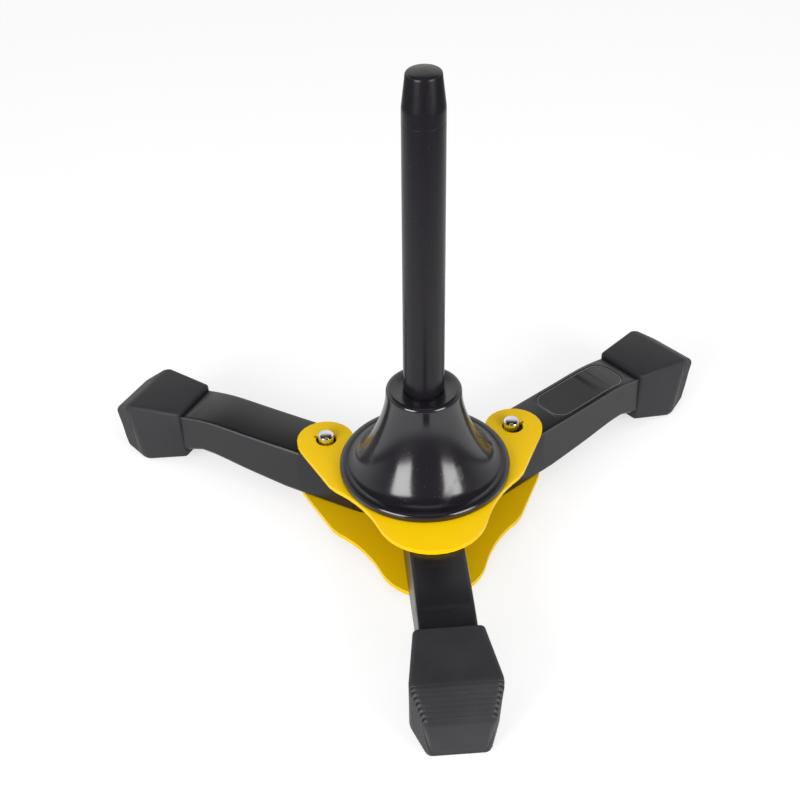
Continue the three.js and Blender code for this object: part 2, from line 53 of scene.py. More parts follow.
# Where things stand, read from the frame
coneLow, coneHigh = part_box("rest_cone")
hub = (coneLow + coneHigh) / 2
deck = coneLow.z
joints = {joint["name"]: joint for joint in frame["joints"]}


def middleOf(node):
    low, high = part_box(node)
    return (low + high) / 2


# A leg's own place: x runs outward from the leg's round end, y across and z up
def legPlace(side):
    if side == "front":
        return Matrix.Translation((hub.x, hub.y, 0)) @ Matrix.Rotation(-pi / 2, 4, "Z")
    pivot = Vector(joints[side + "_leg_swing"]["pos_m"])
    pin = middleOf(side + "_lock_button")
    turn = atan2(pin.y - pivot.y, pin.x - pivot.x)
    return Matrix.Translation((pivot.x, pivot.y, 0)) @ Matrix.Rotation(turn, 4, "Z")


sides = ("front", "left", "right")
legPlaces = {side: legPlace(side) for side in sides}
print("frame read: hub at", [round(value / mm, 2) for value in hub], "deck at", round(deck / mm, 2))


# Camera
camera = {
    "from": (-37.98, -402.24, 385.93),  # from the hub's foot, in mm
    "yaw": 0.71,
    "pitch": 39.95,
    "roll": -3.56,
    "focalPixels": 1295.78,
    "centrePixel": (343.0, 441.3),
    "imageSize": 800,
}


def makeCamera(values):
    size = values["imageSize"]
    data = bpy.data.cameras.new("photoCamera")
    data.sensor_fit = "HORIZONTAL"
    data.sensor_width = 36
    data.lens = values["focalPixels"] / size * 36
    data.clip_start = 0.01
    data.shift_x = -(values["centrePixel"][0] - size / 2) / size
    data.shift_y = (values["centrePixel"][1] - size / 2) / size
    yaw, pitch, roll = (radians(values[key]) for key in ("yaw", "pitch", "roll"))
    ahead = Vector((sin(yaw) * cos(pitch), cos(yaw) * cos(pitch), -sin(pitch)))
    level = ahead.cross(Vector((0, 0, 1))).normalized()
    right = level * cos(roll) + level.cross(ahead) * sin(roll)
    up = right.cross(ahead)
    place = Matrix((right, up, -ahead)).transposed().to_4x4()
    place.translation = Vector(values["from"]) * mm + Vector((hub.x, hub.y, 0))
    seen = bpy.data.objects.new("photoCamera", data)
    seen.matrix_world = place
    bpy.context.scene.collection.objects.link(seen)
    bpy.context.scene.camera = seen


makeCamera(camera)


# Shader maths: a term is one output socket, and an expression on terms adds its Math nodes
class Term:
    def __init__(self, finish, socket):
        self.finish = finish
        self.socket = socket

    def maths(self, operation, first, second):
        return self.finish.add("ShaderNodeMath", {"operation": operation}, {0: first, 1: second})

    def __add__(self, other):
        return self.maths("ADD", self, other)

    def __radd__(self, other):
        return self.maths("ADD", other, self)

    def __sub__(self, other):
        return self.maths("SUBTRACT", self, other)

    def __rsub__(self, other):
        return self.maths("SUBTRACT", other, self)

    def __mul__(self, other):
        return self.maths("MULTIPLY", self, other)

    def __rmul__(self, other):
        return self.maths("MULTIPLY", other, self)


class Finish:
    def __init__(self, owner):
        self.owner = owner
        owner.use_nodes = True
        self.tree = owner.node_tree
        self.tree.nodes.clear()

    def add(self, kind, settings=None, values=None, output=0):
        node = self.tree.nodes.new(kind)
        for key, value in (settings or {}).items():
            setattr(node, key, value)
        for key, value in (values or {}).items():
            if isinstance(value, Term):
                self.tree.links.new(value.socket, node.inputs[key])
            else:
                node.inputs[key].default_value = value
        return Term(self, node.outputs[output] if node.outputs else None)

    def place(self, centre=(0, 0, 0), turn=0, scale=(1, 1, 1)):
        point = self.add("ShaderNodeTexCoord", output="Object")
        moved = self.add("ShaderNodeVectorMath", {"operation": "SUBTRACT"}, {0: point, 1: centre})
        values = {"Vector": moved, "Rotation": (0, 0, turn), "Scale": scale}
        return self.add("ShaderNodeMapping", values=values)

    def noise(self, place, scale, detail=2.0, roughness=0.5):
        values = {"Vector": place, "Scale": scale, "Detail": detail, "Roughness": roughness}
        return self.add("ShaderNodeTexNoise", values=values)

    def between(self, value, low, high, toLow=0.0, toHigh=1.0):
        settings = {"interpolation_type": "SMOOTHSTEP"}
        values = {"Value": value, "From Min": low, "From Max": high, "To Min": toLow, "To Max": toHigh}
        return self.add("ShaderNodeMapRange", settings, values)

    def mixColour(self, share, first, second):
        return self.add("ShaderNodeMix", {"data_type": "RGBA"}, {0: share, 6: first, 7: second}, 2)

    def bump(self, height, strength, distance, normal=None):
        values = {"Height": height, "Strength": strength, "Distance": distance}
        if normal is not None:
            values["Normal"] = normal
        return self.add("ShaderNodeBump", values=values)

    def surface(self, **values):
        shader = self.add("ShaderNodeBsdfPrincipled", values=values)
        self.add("ShaderNodeOutputMaterial", values={"Surface": shader})
        return self.owner


def colour(red, green, blue):
    return (red, green, blue, 1.0)


# Moulded plastic: a slow change of sheen, a fine skin, hair scratches, a little dust and a painted highlight on
# edge faces
def plasticFinish(name, look):
    finish = Finish(bpy.data.materials.new(name))
    place = finish.place()
    cloud = finish.noise(place, look["cloud"], 3.0)
    skin = finish.noise(place, look["skin"], 2.0, 0.6)
    drawn = finish.place(turn=look["streakTurn"], scale=look["streakScale"])
    streaks = finish.noise(drawn, look["streaks"])
    scratch = finish.between(streaks, *look["scratchSpan"])
    dust = finish.between(finish.noise(place, look["dust"], 1.0), *look["dustSpan"])
    tone = finish.mixColour(cloud, look["dark"], look["light"])
    tone = finish.mixColour(dust * look["dustShare"], tone, look["dustColour"])
    # Faces marked "edge" are painted lighter: a painted highlight along the legs' rounded edges and the badge
    # panel's bead
    edge = finish.add("ShaderNodeAttribute", {"attribute_name": "edge"}, output="Fac")
    tone = finish.mixColour(edge * look["edgeHighlightShare"], tone, look["edgeHighlightColour"])
    rough = look["rough"] + (cloud - 0.5) * look["roughChange"]
    rough = rough + scratch * look["scratchRough"] + dust * look["dustRough"]
    normal = finish.bump(skin, look["skinStrength"], look["skinDepth"])
    normal = finish.bump(scratch, look["scratchStrength"], look["scratchDepth"], normal)
    return finish.surface(**{
        "Base Color": tone,
        "Roughness": rough,
        "Normal": normal,
        "IOR": look["ior"],
        "Specular IOR Level": look["specular"],
    })


glossLook = {
    "dark": colour(0.0085, 0.0074, 0.0103),
    "light": colour(0.0125, 0.0108, 0.0148),
    "cloud": 28.0,
    "skin": 900.0,
    "skinStrength": 0.06,
    "skinDepth": 0.0001,
    "streaks": 120.0,
    "streakTurn": 0.4,
    "streakScale": (1.0, 1.0, 0.08),
    "scratchSpan": (0.66, 0.71),  # the noise levels where a scratch starts and is full
    "scratchRough": 0.1,
    "scratchStrength": 0.12,
    "scratchDepth": 0.00004,
    "dust": 1400.0,
    "dustSpan": (0.74, 0.78),
    "dustShare": 0.1,
    "dustRough": 0.25,
    "dustColour": colour(0.2, 0.2, 0.21),
    "edgeHighlightColour": colour(0.26, 0.26, 0.27),
    "edgeHighlightShare": 0.0,
    "rough": 0.17,
    "roughChange": 0.1,
    "ior": 1.5,
    "specular": 0.72,
}
spikeLook = dict(glossLook)
spikeLook.update({
    "dark": colour(0.0085, 0.0075, 0.0102),
    "light": colour(0.0118, 0.0103, 0.0137),
    "rough": 0.27,
    "specular": 0.28,
    "streakScale": (1.0, 1.0, 0.03),
    "skinStrength": 0.09,
})
tipLook = dict(spikeLook)
tipLook.update({"rough": 0.24, "specular": 0.31})
legLook = dict(glossLook)
legLook.update({
    "dark": colour(0.0078, 0.007, 0.0088),
    "light": colour(0.0118, 0.0108, 0.013),
    "cloud": 40.0,
    "skin": 1500.0,
    "skinStrength": 0.14,
    "streakScale": (0.1, 1.0, 1.0),
    "scratchSpan": (0.64, 0.69),
    "rough": 0.3,
    "roughChange": 0.12,
    "specular": 0.5,
    # Lighter edge faces: a painted highlight along the top's edges and round the badge panel
    "edgeHighlightShare": 0.5,
})


# Rubber: matte and a little dusty, with a painted highlight on the crest ends of the ribs
def rubberFinish(name, look):
    finish = Finish(bpy.data.materials.new(name))
    place = finish.place()
    cloud = finish.noise(place, look["cloud"], 4.0, 0.6)
    grain = finish.noise(place, look["grain"], 3.0, 0.7)
    pores = finish.noise(place, look["pores"], 1.0)
    # A painted highlight where the rib crests meet the side facets, read from a value stored on the boot's
    # vertices
    ribHighlight = finish.add("ShaderNodeAttribute", {"attribute_name": "ribHighlight"}, output="Fac")
    tone = finish.mixColour(finish.between(cloud, *look["cloudSpan"]), look["dark"], look["light"])
    paintedHighlight = ribHighlight * look["ribHighlightShare"] * finish.between(grain, *look["ribHighlightSpan"])
    tone = finish.mixColour(paintedHighlight, tone, look["paintedHighlight"])
    rough = look["rough"] + (cloud - 0.5) * look["roughChange"] - ribHighlight * look["ribHighlightSmooth"]
    normal = finish.bump(grain, look["grainStrength"], look["grainDepth"])
    pits = finish.between(pores, *look["poreSpan"])
    normal = finish.bump(pits, look["poreStrength"], look["poreDepth"], normal)
    return finish.surface(**{"Base Color": tone, "Roughness": rough, "Normal": normal, "IOR": look["ior"]})


rubberLook = {
    "dark": colour(0.0155, 0.0142, 0.0168),
    "light": colour(0.0225, 0.0207, 0.0242),
    # The next four keys paint a highlight on the rib crests: its colour, its share, the smoother sheen it gives
    # and the grain levels that break it up
    "paintedHighlight": colour(0.085, 0.082, 0.087),
    "ribHighlightShare": 0.75,
    "ribHighlightSmooth": 0.12,
    "ribHighlightSpan": (0.3, 0.75, 0.4, 1.0),
    "cloud": 55.0,
    "cloudSpan": (0.3, 0.7),
    "grain": 1100.0,
    "grainStrength": 0.3,
    "grainDepth": 0.00012,
    "pores": 2300.0,
    "poreSpan": (0.62, 0.72),
    "poreStrength": 0.25,
    "poreDepth": 0.00006,
    "rough": 0.56,
    "roughChange": 0.16,
    "ior": 1.45,
}


# Powder coat: an even colour with a fine skin, slight rubbing marks and a painted highlight on the broken edges
def paintFinish(name, look):
    finish = Finish(bpy.data.materials.new(name))
    place = finish.place()
    cloud = finish.noise(place, look["cloud"], 3.0)
    skin = finish.noise(place, look["skin"], 2.0, 0.55)
    rubs = finish.noise(finish.place(turn=look["rubTurn"], scale=look["rubScale"]), look["rubs"])
    rubbed = finish.between(rubs, *look["rubSpan"])
    # Bevel faces marked "edge" are painted paler: a painted highlight along the plates' edges
    edge = finish.add("ShaderNodeAttribute", {"attribute_name": "edge"}, output="Fac")
    tone = finish.mixColour(cloud, look["deep"], look["bright"])
    tone = finish.mixColour(edge * look["edgeHighlightShare"], tone, look["edgeHighlightColour"])
    rough = look["rough"] + (cloud - 0.5) * look["roughChange"] + rubbed * look["rubRough"]
    normal = finish.bump(skin, look["skinStrength"], look["skinDepth"])
    return finish.surface(**{
        "Base Color": tone,
        "Roughness": rough,
        "Normal": normal,
        "IOR": look["ior"],
        "Specular IOR Level": look["specular"],
    })


paintLook = {
    "deep": colour(0.9, 0.56, 0.0015),
    "bright": colour(0.95, 0.61, 0.002),
    # A paler yellow on the bevel faces: a painted highlight line
    "edgeHighlightColour": colour(0.98, 0.78, 0.12),
    "edgeHighlightShare": 0.6,
    "cloud": 22.0,
    "skin": 1300.0,
    "skinStrength": 0.07,
    "skinDepth": 0.0001,
    "rubs": 160.0,
    "rubTurn": 0.9,
    "rubScale": (1.0, 0.12, 1.0),
    "rubSpan": (0.63, 0.7),
    "rubRough": 0.08,
    "rough": 0.34,
    "roughChange": 0.1,
    "ior": 1.5,
    "specular": 0.15,
}


# Metal: turned or plated, with rings or rubbing marks and a slow change of sheen
def metalFinish(name, look):
    finish = Finish(bpy.data.materials.new(name))
    place = finish.place()
    cloud = finish.noise(place, look["cloud"], 3.0)
    fine = finish.noise(finish.place(scale=look["lineScale"]), look["lines"], 2.0, 0.6)
    tone = finish.mixColour(finish.between(cloud, *look["cloudSpan"]), look["dark"], look["light"])
    rough = look["rough"] + (fine - 0.5) * look["roughChange"] + (cloud - 0.5) * look["roughChange"]
    normal = finish.bump(fine, look["lineStrength"], look["lineDepth"])
    return finish.surface(**{"Base Color": tone, "Roughness": rough, "Normal": normal, "Metallic": 1.0})


chromeLook = {
    "dark": colour(0.62, 0.62, 0.64),
    "light": colour(0.78, 0.78, 0.8),
    "cloud": 120.0,
    "cloudSpan": (0.3, 0.7),
    "lines": 1500.0,
    "lineScale": (0.15, 0.15, 1.0),
    "lineStrength": 0.1,
    "lineDepth": 0.00003,
    "rough": 0.1,
    "roughChange": 0.05,
}
zincLook = dict(chromeLook)
zincLook.update({
    "dark": colour(0.36, 0.36, 0.38),
    "light": colour(0.52, 0.52, 0.53),
    "lineStrength": 0.3,
    "rough": 0.33,
    "roughChange": 0.2,
})
brassLook = dict(zincLook)
brassLook.update({"dark": colour(0.42, 0.27, 0.07), "light": colour(0.58, 0.38, 0.1)})

finishes = {
    "gloss_black": plasticFinish("glossyMouldedBlack", glossLook),
    "spike_black": plasticFinish("satinSpikeBlack", spikeLook),
    "tip_black": plasticFinish("smoothTipBlack", tipLook),
    "satin_black": plasticFinish("satinMouldedBlack", legLook),
    "rubber": rubberFinish("ribbedRubber", rubberLook),
    "yellow_paint": paintFinish("yellowPowderCoat", paintLook),
    "chrome": metalFinish("polishedPin", chromeLook),
    "steel": metalFinish("zincPlatedSteel", zincLook),
    "brass": metalFinish("turnedBrass", brassLook),
}
print("finishes made:", len(finishes))


# Every new piece ends here: it replaces its node, rides on its body and takes the node's slot
slots = {part["node"]: part["material_slot"] for part in frame["record"]["subparts"]}
bodyOf = {node: body for body, members in frame["record"]["behaviour"]["bodies"].items() for node in members}


def finishPiece(mesh, node, finish=None, sharpAngle=40, weighted=False):
    data = bpy.data.meshes.new(node + "_looks")
    mesh.to_mesh(data)
    mesh.free()
    data.shade_smooth()
    data.set_sharp_from_angle(angle=radians(sharpAngle))
    data.materials.append(finishes[finish or slots[node]])
    piece = bpy.data.objects.new(node + "_looks", data)
    bpy.context.scene.collection.objects.link(piece)
    if weighted:
        modifier = piece.modifiers.new("evenShading", "WEIGHTED_NORMAL")
        modifier.keep_sharp = True
    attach(piece, bodyOf[node])
    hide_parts(node)
    return piece


def hardEdges(mesh, angle):
    limit = radians(angle)
    return [edge for edge in mesh.edges if len(edge.link_faces) == 2 and edge.calc_face_angle(0) > limit]


def bevelEdges(mesh, edges, width, segments):
    return bmesh.ops.bevel(
        mesh, geom=edges, offset=width, offset_type="OFFSET", segments=segments, profile=0.5,
        affect="EDGES", clamp_overlap=True, material=-1,
    )


legShape = {
    "depth": 22.65,
    "topHalf": 9.7,
    "underHalf": 11.4,
    "newTopHalf": 10.95,
    "corner": 1.6,
    "newCorner": 0.95,
    "cornerBand": (1.65, 1.778),  # how far down and in the solid's rounded corner reaches, once widened
    "topBand": (7.9, 20.0),  # points of the top's edge lie farther out and higher than this
    "dip": 0.5,  # a station this far under one beyond it isn't on the top
    "archFrom": 26.0,
    "archTo": 96.0,
    "archStep": 2.0,
    "blur": (1, 3, 6, 8, 9, 8, 6, 3, 1),
    "blurStep": 2.2,
    "panel": (38.3, 82.1, 8.1, 6.8),  # from, to, half width and corner
    "panelSlack": (0.2, 0.1),
    "beadInset": 0.55,
    "beadSteps": (12, 16),  # round a corner and along a side
    "beadSection": ((0.2, -0.1), (0.16, 0.1), (-0.16, 0.1), (-0.2, -0.1)),
    "panelDepth": 0.35,
    # The next three keys pick the faces of the top's rounded edges that get part of the painted highlight, and set
    # its share
    "cornerSlope": (0.35, 0.9),
    "cornerDrop": 1.0,
    "cornerHighlight": 0.4,
    "squareFrom": 4.0,  # the tighter corners start here, outward of the leg's round end
}


# The height of the legs' top along their length, read from the leg that has no badge panel
def topLine(values):
    inverse = legPlaces["left"].inverted()
    tops = {}
    for vert in nodes["left_leg"].data.vertices:
        point = inverse @ vert.co / mm
        if abs(point.y) > values["topBand"][0] and point.z > values["topBand"][1]:
            station = round(point.x, 2)
            tops[station] = max(tops.get(station, 0), point.z)
    line = sorted(tops.items())

    def onTop(station, top):
        return top > max(high for out, high in line if out >= station) - values["dip"]

    return [(station, top) for station, top in line if onTop(station, top)]


legLine = topLine(legShape)


def topAt(reach):
    index = next((step for step, (station, top) in enumerate(legLine) if station >= reach), len(legLine) - 1)
    (start, low), (end, high) = legLine[max(index, 1) - 1], legLine[max(index, 1)]
    return low + (high - low) * (reach - start) / (end - start)


# The same line with its corners drawn out to a curve
def smoothTop(reach, values):
    shares = values["blur"]
    middle = len(shares) // 2
    heights = [topAt(reach + (step - middle) * values["blurStep"]) for step in range(len(shares))]
    return sum(share * height for share, height in zip(shares, heights)) / sum(shares)


# The thin bead moulded round the badge panel's floor, its faces painted lighter as a painted highlight line
def panelBead(mesh, values, edgeHighlightLayer):
    start, end, half, corner = values["panel"]
    arc, wide = corner - values["beadInset"], values["newTopHalf"] / values["topHalf"]
    turnSteps, sideSteps = values["beadSteps"]
    path = []
    for quarter, (x, y) in enumerate(((end, half), (start, half), (start, -half), (end, -half))):
        middleX = x - corner if x == end else x + corner
        middleY = y - corner if y > 0 else y + corner
        for step in range(turnSteps + 1):
            angle = (quarter + step / turnSteps) * pi / 2
            path.append((middleX, middleY, cos(angle), sin(angle)))
        if quarter in (0, 2):
            length = (start - end + 2 * corner) * (1 if quarter == 0 else -1)
            for step in range(1, sideSteps):
                path.append((middleX + length * step / sideSteps, middleY, cos(angle), sin(angle)))
    rings = []
    for x, y, outX, outY in path:
        ring = []
        for across, lift in values["beadSection"]:
            reach, away = x + outX * (arc + across), y + outY * (arc + across)
            height = smoothTop(reach, values) - values["panelDepth"] + lift
            ring.append(mesh.verts.new((reach * mm, away * wide * mm, height * mm)))
        rings.append(ring)
    for ring, following in zip(rings, rings[1:] + rings[:1]):
        for index in range(len(ring)):
            after = (index + 1) % len(ring)
            face = mesh.faces.new((ring[index], ring[after], following[after], following[index]))
            face[edgeHighlightLayer] = 1.0


# The leg's top is nearly as wide as its underside, with tighter corners than the solid's and a smooth arch
def squareLeg(mesh, side, values):
    edgeHighlightLayer = mesh.faces.layers.float.new("edge")
    bmesh.ops.transform(mesh, matrix=legPlaces[side].inverted(), verts=mesh.verts)
    spread = values["newTopHalf"] / values["topHalf"] - 1
    tighten = values["newCorner"] / values["corner"]
    cornerDeep, cornerWide = values["cornerBand"]
    for vert in mesh.verts:
        top = topAt(vert.co.x / mm) * mm
        drop = max(0, top - vert.co.z)
        rise = max(0, 1 - drop / (values["depth"] * mm))
        vert.co.y *= 1 + spread * rise
        half = (values["underHalf"] + (values["newTopHalf"] - values["underHalf"]) * rise) * mm
        fromSide = half - abs(vert.co.y)
        if drop < cornerDeep * mm and fromSide < cornerWide * mm and vert.co.x > values["squareFrom"] * mm:
            across = half - fromSide * tighten
            vert.co.y = across if vert.co.y > 0 else -across
            vert.co.z = top - drop * tighten

    reach = values["archFrom"]
    while reach < values["archTo"]:
        bmesh.ops.bisect_plane(
            mesh, geom=mesh.verts[:] + mesh.edges[:] + mesh.faces[:], dist=0.00002,
            plane_co=(reach * mm, 0, 0), plane_no=(1, 0, 0),
        )
        reach += values["archStep"]
    for vert in mesh.verts:
        reach = vert.co.x / mm
        if values["archFrom"] < reach < values["archTo"]:
            vert.co.z += (smoothTop(reach, values) - topAt(reach)) * mm
    panelFrom, panelTo, panelHalf, _ = values["panel"]
    slackAlong, slackAcross = values["panelSlack"]
    for vert in mesh.verts:
        reach = vert.co.x / mm
        level = smoothTop(reach, values) - values["panelDepth"]
        along = panelFrom - slackAlong < reach < panelTo + slackAlong
        across = abs(vert.co.y) < (panelHalf * (1 + spread) + slackAcross) * mm
        if along and across and abs(vert.co.z / mm - level) < slackAlong:
            vert.co.z = level * mm
    if side == "right":
        panelBead(mesh, values, edgeHighlightLayer)
    mesh.normal_update()
    # The top's rounded edge faces get part of the painted highlight
    steep, level = values["cornerSlope"]
    for face in mesh.faces:
        centre = face.calc_center_median() / mm
        high = topAt(centre.x) - centre.z < values["cornerDrop"]
        if values["archFrom"] < centre.x and steep < face.normal.z < level and high:
            face[edgeHighlightLayer] = values["cornerHighlight"]
    bmesh.ops.transform(mesh, matrix=legPlaces[side], verts=mesh.verts)


# A copy of a solid with its doubles merged, its flat faces cleaned and its hard edges broken
def softCopy(node, width, segments=2, angle=50):
    mesh = bmesh.new()
    mesh.from_mesh(nodes[node].data)
    bmesh.ops.remove_doubles(mesh, verts=mesh.verts, dist=mergeDistance)
    bmesh.ops.dissolve_limit(mesh, angle_limit=radians(0.3), verts=mesh.verts, edges=mesh.edges)
    if node.endswith("_leg"):
        squareLeg(mesh, node[:-len("_leg")], legShape)
    # Bevel faces are marked for the painted highlight that the plastic and paint finishes put on edges
    edgeHighlightLayer = mesh.faces.layers.float.get("edge") or mesh.faces.layers.float.new("edge")
    for face in bevelEdges(mesh, hardEdges(mesh, angle), width, segments)["faces"]:
        face[edgeHighlightLayer] = 1.0
    return mesh


# A turned piece: a line of points, rounded at the named corners, spun about an upright axis
def turnedPiece(points, centre, steps, corners=()):
    mesh = bmesh.new()
    verts = [mesh.verts.new((centre.x + radius * mm, centre.y, height * mm)) for radius, height in points]
    for first, second in zip(verts, verts[1:]):
        mesh.edges.new((first, second))
    for index, size in corners:
        bmesh.ops.bevel(
            mesh, geom=[verts[index]], offset=size * mm, offset_type="OFFSET", segments=5, profile=0.5,
            affect="VERTICES", clamp_overlap=True, material=-1,
        )
    bmesh.ops.spin(
        mesh, geom=mesh.verts[:] + mesh.edges[:], cent=(centre.x, centre.y, 0), axis=(0, 0, 1),
        angle=2 * pi, steps=steps, use_merge=True,
    )
    bmesh.ops.remove_doubles(mesh, verts=mesh.verts, dist=mergeDistance)
    bmesh.ops.recalc_face_normals(mesh, faces=mesh.faces)
    return mesh


def curvePoints(start, firstBend, secondBend, end, count):
    points = []
    ends = (start, firstBend, secondBend, end)
    for step in range(1, count):
        share = step / count
        weights = ((1 - share) ** 3, 3 * (1 - share) ** 2 * share, 3 * (1 - share) * share ** 2, share ** 3)
        radius = sum(weight * point[0] for weight, point in zip(weights, ends))
        height = sum(weight * point[1] for weight, point in zip(weights, ends))
        points.append((radius, height))
    return points


# Rest cone, with heights above the deck
cone = {
    "flange": 35.0,
    "flangeHeight": 3.7,
    "flangeRound": 1.75,
    "flangeUnder": (0.5, 0.6),  # the underside's edge, cut back by this much in and up
    "grooveWidth": 0.8,
    "grooveDepth": 0.06,
    "bellFoot": 31.0,
    "bellFlare": (25.4, 0.6),  # first bend, as radius and height above the flange
    "bellWaist": 22.0,  # height of the second bend above the flange
    "bellNeck": 15.1,
    "height": 41.0,
    "rimRound": 1.9,
    "dish": 0.7,
    "dishFloor": 9.4,
    "dishFall": 0.1,
    "dishRound": 1.2,
    "well": 7.7,
    "wellBreak": 0.25,
    "wellFloor": 16.0,
    "bore": 3.3,
    "post": 11.1,
    "postGap": 0.15,
    "hollow": 31.2,
    "hollowStep": (4.6, 1.6),
    "hollowHeight": 24.0,
    "wall": 2.6,
    "steps": 128,
}


def makeCone(values):
    base = deck / mm
    foot = (values["bellFoot"], base + values["flangeHeight"])
    flare = (values["bellFlare"][0], foot[1] + values["bellFlare"][1])
    waist = (values["bellNeck"], foot[1] + values["bellWaist"])
    top = base + values["height"]
    neck = (values["bellNeck"], top - values["rimRound"])
    grooveOut = foot[0] + values["grooveWidth"]
    underIn, underUp = values["flangeUnder"]
    stepIn, stepUp = values["hollowStep"]
    hollowTop = base + values["hollowHeight"]
    innermost = values["post"] + values["postGap"]
    inner = [point for point in curvePoints(foot, flare, waist, neck, 14) if point[1] < hollowTop]
    profile = [
        (values["hollow"], base),
        (values["flange"] - underIn, base),
        (values["flange"], base + underUp),
        (values["flange"], foot[1]),
        (grooveOut, foot[1]),
        (foot[0] + values["grooveWidth"] / 2, foot[1] - values["grooveDepth"]),
        foot,
        *curvePoints(foot, flare, waist, neck, 30),
        neck,
        (values["bellNeck"], top),
        (values["dishFloor"], top - values["dish"] + values["dishFall"]),
        (values["well"], top - values["dish"]),
        (values["well"], base + values["wellFloor"]),
        (values["bore"], base + values["wellFloor"]),
        (values["bore"], base),
        (values["post"], base),
        (values["post"], hollowTop),
        *[(max(radius - values["wall"], innermost), height) for radius, height in reversed(inner)],
        (values["hollow"] - stepIn, base + stepUp),
        (values["hollow"], base),
    ]
    rim = profile.index((values["bellNeck"], top))
    corners = [
        (rim + 2, values["wellBreak"]),
        (rim + 1, values["dishRound"]),
        (rim, values["rimRound"]),
        (3, values["flangeRound"]),
    ]
    finishPiece(turnedPiece(profile, hub, values["steps"], corners), "rest_cone", sharpAngle=48)


makeCone(cone)


# Spike: the tube and its tip, with heights above the deck
spike = {
    "foot": 40.8,
    "footRadius": 8.1,
    "footRound": 0.7,
    "footBand": 1.2,
    "seam": 153.7,
    "seamRadius": 7.76,
    "seamBreak": 0.1,
    "seamBand": 0.4,
    "bottom": 22.3,
    "spigot": 7.5,
    "bore": 5.2,
    "plug": 5.05,
    "plugDepth": 12.0,
    "shoulder": 159.1,
    "shoulderRadius": 7.74,
    "shoulderRound": 0.7,
    "shoulderFall": (0.15, 1.25),  # in and up from the shoulder
    "nose": 171.5,
    "noseRadius": 6.25,
    "noseRound": 0.9,
    "noseRise": (0.17, 1.4),  # out and down from the nose
    "crown": 172.0,
    "crownRadius": 2.6,
    "crownRound": 1.2,
    "crownRise": 0.1,
    "lean": 0.0075,  # how far it stands out of true, to the right, for each millimetre above its foot
    "steps": 96,
}


def makeSpike(values):
    base = deck / mm
    seam = base + values["seam"]
    tube = [
        (values["bore"], base + values["bottom"]),
        (values["spigot"], base + values["bottom"]),
        (values["spigot"], base + values["foot"]),
        (values["footRadius"], base + values["foot"]),
        (values["footRadius"], base + values["foot"] + values["footBand"]),
        (values["seamRadius"], seam - values["seamBand"]),
        (values["seamRadius"], seam),
        (values["bore"], seam),
        (values["bore"], base + values["bottom"]),
    ]
    corners = [(6, values["seamBreak"]), (3, values["footRound"])]

    def lean(mesh):
        for vert in mesh.verts:
            vert.co.x += max(0, vert.co.z - (base + values["foot"]) * mm) * values["lean"]
        return mesh

    finishPiece(lean(turnedPiece(tube, hub, values["steps"], corners)), "spike_tube", "spike_black")
    shoulder, nose, crown = (base + values[key] for key in ("shoulder", "nose", "crown"))
    fallIn, fallUp = values["shoulderFall"]
    riseOut, riseDown = values["noseRise"]
    tip = [
        (0, seam - values["plugDepth"]),
        (values["plug"], seam - values["plugDepth"]),
        (values["plug"], seam),
        (values["seamRadius"], seam),
        (values["seamRadius"], seam + values["seamBand"]),
        (values["shoulderRadius"], shoulder),
        (values["shoulderRadius"] - fallIn, shoulder + fallUp),
        (values["noseRadius"] + riseOut, nose - riseDown),
        (values["noseRadius"], nose),
        (values["crownRadius"], crown),
        (0, crown + values["crownRise"]),
    ]
    corners = [
        (9, values["crownRound"]),
        (8, values["noseRound"]),
        (5, values["shoulderRound"]),
        (3, values["seamBreak"]),
    ]
    finishPiece(lean(turnedPiece(tip, hub, values["steps"], corners)), "spike_tip", "tip_black")


makeSpike(spike)
print("cone and spike turned")


# Lock pins and rivets
button = {
    "collar": 4.5,
    "collarBottom": 25.85,
    "collarTop": 27.85,
    "collarRound": 0.3,
    "pin": 3.35,
    "pinRound": 0.3,
    "top": 36.45,
    "dome": (0.85, 0.7),
    "domeDrop": 0.12,
    "domeRound": 0.35,
    "steps": 48,
}
rivet = {
    "shank": 3.0,
    "low": 6.2,
    "head": 4.1,
    "headHeight": 1.6,
    "headFlat": 0.55,  # the head's flat middle and its rim's height, as shares of the head's sizes
    "headRim": 0.35,
    "flatRound": 0.8,
    "rimRound": 0.4,
    "steps": 40,
}


def makeButtons(values):
    for side in ("left", "right"):
        node = side + "_lock_button"
        profile = [
            (0, values["collarBottom"]),
            (values["collar"], values["collarBottom"]),
            (values["collar"], values["collarTop"]),
            (values["pin"], values["collarTop"]),
            (values["pin"], values["top"] - values["dome"][1]),
            (values["pin"] - values["dome"][0], values["top"] - values["domeDrop"]),
            (0, values["top"]),
        ]
        corners = [(5, values["domeRound"]), (4, values["pinRound"]), (2, values["collarRound"])]
        finishPiece(turnedPiece(profile, middleOf(node), values["steps"], corners), node)


def makeRivets(values):
    low, high = values["low"], deck / mm
    flat = values["head"] * values["headFlat"]
    rim = values["headHeight"] * values["headRim"]
    for side in sides:
        node = side + "_leg_rivet"
        profile = [
            (0, low - values["headHeight"]),
            (flat, low - values["headHeight"]),
            (values["head"], low - rim),
            (values["head"], low),
            (values["shank"], low),
            (values["shank"], high),
            (values["head"], high),
            (values["head"], high + rim),
            (flat, high + values["headHeight"]),
            (0, high + values["headHeight"]),
        ]
        flatRound, rimRound = values["flatRound"], values["rimRound"]
        corners = [(8, flatRound), (7, rimRound), (2, rimRound), (1, flatRound)]
        finishPiece(turnedPiece(profile, middleOf(node), values["steps"], corners), node)


makeButtons(button)
makeRivets(rivet)


